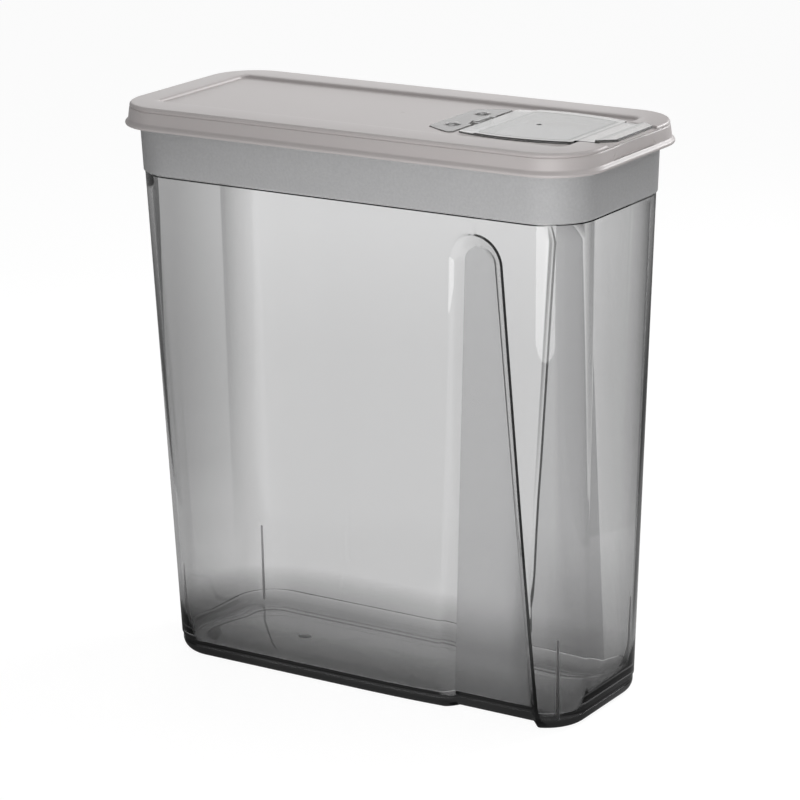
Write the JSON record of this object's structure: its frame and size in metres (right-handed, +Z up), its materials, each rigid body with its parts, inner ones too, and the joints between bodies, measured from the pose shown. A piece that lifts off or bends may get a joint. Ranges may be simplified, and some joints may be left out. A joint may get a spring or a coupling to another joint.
{
  "type": "cereal container",
  "caption": "Tall tapered cereal container with a hand grip in each broad wall, a push-on lid and a clear hinged flip spout.",
  "frame": {"origin": "middle of the base, on the surface that the container stands on", "axes": "+X towards the pouring end, +Y across the narrow side, +Z up"},
  "size_m": [0.2546, 0.1102, 0.276],
  "materials": {
    "smoke_clear_plastic": "polished see-through moulding, with a fine-grained matt collar",
    "lid_plastic": "satin moulded warm grey",
    "clear_plastic": "see-through natural moulding"
  },
  "bodies": {
    "container": {"container_body": "smoke_clear_plastic"},
    "lid": {"lid": "lid_plastic", "hinge_strip": "clear_plastic"},
    "flap": {"spout_flap": "clear_plastic"}
  },
  "joints": [
    {"name": "lid_lift", "type": "slide", "parent": "container", "child": "lid", "axis": [0, 0, 1], "range_m": [0, 0.04]},
    {"name": "flap_hinge", "type": "hinge", "parent": "lid", "child": "flap", "pos_m": [0.0469, 0, 0.273], "axis": [0, -1, 0], "range_deg": [0, 110]}
  ]
}
